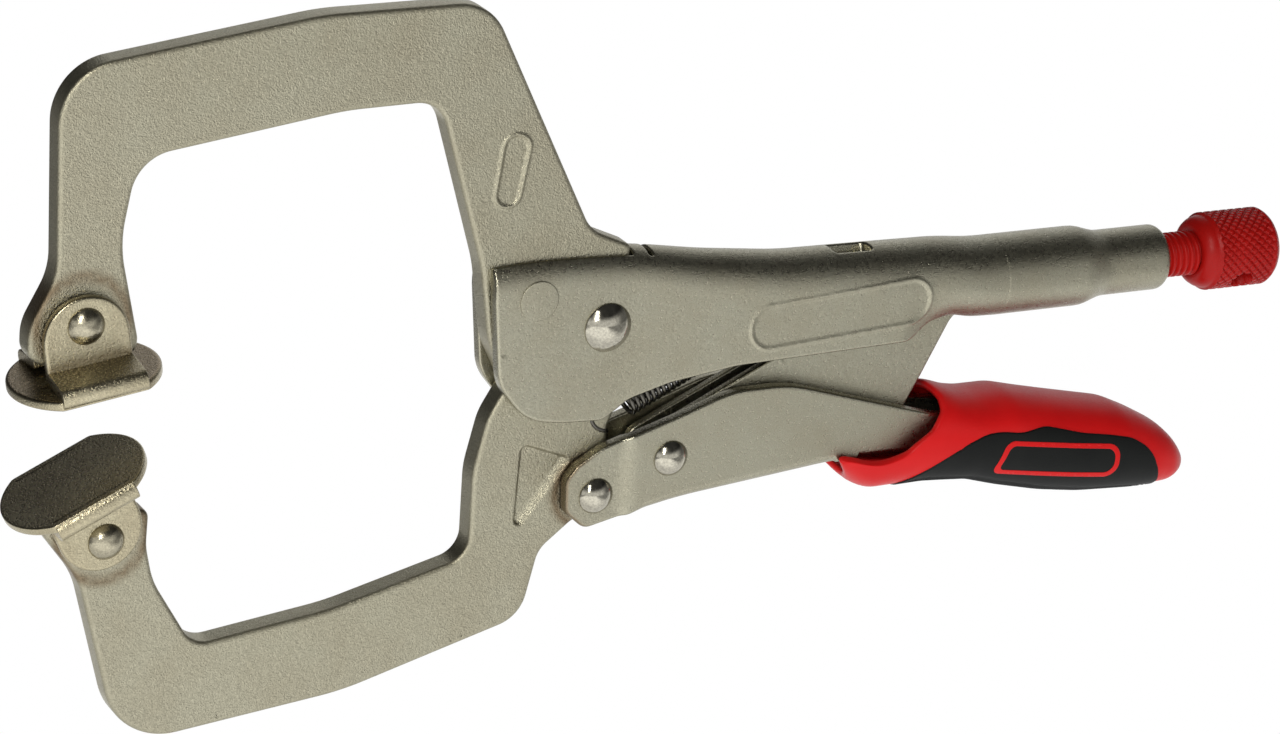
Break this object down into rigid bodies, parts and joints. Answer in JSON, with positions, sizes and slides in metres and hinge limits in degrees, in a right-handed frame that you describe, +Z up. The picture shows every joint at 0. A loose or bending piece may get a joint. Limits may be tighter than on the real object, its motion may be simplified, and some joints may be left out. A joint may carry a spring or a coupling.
{
  "type": "locking c clamp",
  "caption": "Locking C clamp: forged deep jaws with swivel pads, a toggle handle with a two-colour grip and a knurled adjusting screw.",
  "frame": {"origin": "centre of the fixed (upper) pad's contact face", "axes": "+X runs along the adjusting screw towards its knob, +Z is up with the fixed jaw on top, +Y goes through the thickness; Y = 0 is the mid-plane"},
  "size_m": [0.2822, 0.0254, 0.1443],
  "materials": {
    "nickel_forged": "satin",
    "nickel_sheet": "satin",
    "nickel_pad": "satin",
    "polished_rivet": "polished",
    "spring_wire": "satin",
    "red_painted_steel": "satin",
    "red_plastic": "satin",
    "black_rubber": "matte"
  },
  "bodies": {
    "frame": {"upper_handle": "nickel_sheet", "upper_jaw": "nickel_forged", "fixed_jaw_rivet": "nickel_sheet", "jaw_pivot_rivet": "polished_rivet", "tension_spring": "spring_wire"},
    "moving_jaw": {"lower_jaw": "nickel_forged"},
    "handle": {"lower_handle": "nickel_sheet", "handle_pivot_rivet": "polished_rivet", "link_pivot_rivet": "polished_rivet", "grip_shell": "red_plastic", "grip_insert": "black_rubber", "grip_badge_near": "red_plastic", "grip_badge_far": "red_plastic"},
    "link": {"toggle_link": "nickel_sheet"},
    "screw": {"adjusting_screw": "red_painted_steel"},
    "knob": {"screw_knob": "red_painted_steel"},
    "fixed_jaw_pad": {"upper_pad": "nickel_pad", "upper_pad_rivet": "polished_rivet"},
    "moving_jaw_pad": {"lower_pad": "nickel_pad", "lower_pad_rivet": "polished_rivet"}
  },
  "joints": [
    {"name": "jaw_pivot", "type": "hinge", "parent": "frame", "child": "moving_jaw", "pos_m": [0.107, 0, 0.001], "axis": [0, -1, 0], "range_deg": [0, 16.8], "deforming": ["tension_spring"]},
    {"name": "handle_pivot", "type": "hinge", "parent": "moving_jaw", "child": "handle", "pos_m": [0.107, 0, -0.035], "axis": [0, 1, 0], "range_deg": [0, 75]},
    {"name": "link_pivot", "type": "hinge", "parent": "handle", "child": "link", "pos_m": [0.123, 0, -0.0285], "axis": [0, -1, 0], "range_deg": [0, 72.4]},
    {"name": "screw_travel", "type": "slide", "parent": "frame", "child": "screw", "axis": [1, 0, 0], "range_m": [0, 0.018]},
    {"name": "knob_turn", "type": "hinge", "parent": "screw", "child": "knob", "pos_m": [0.256, 0, 0.001], "axis": [1, 0, 0], "range_deg": [0, 4320]},
    {"name": "fixed_pad_swivel", "type": "hinge", "parent": "frame", "child": "fixed_jaw_pad", "pos_m": [-0.00183, 0, 0.01237], "axis": [0, 1, 0], "range_deg": [-12, 28]},
    {"name": "moving_pad_swivel", "type": "hinge", "parent": "moving_jaw", "child": "moving_jaw_pad", "pos_m": [0.0034, 0, -0.0318], "axis": [0, 1, 0], "range_deg": [0, 54]}
  ],
  "couplings": [
    {"joint": "jaw_pivot", "follows": "handle_pivot", "ratio": 0.2239},
    {"joint": "link_pivot", "follows": "handle_pivot", "ratio": 0.9652},
    {"joint": "knob_turn", "follows": "screw_travel", "rad_per_m": 4188.8}
  ]
}
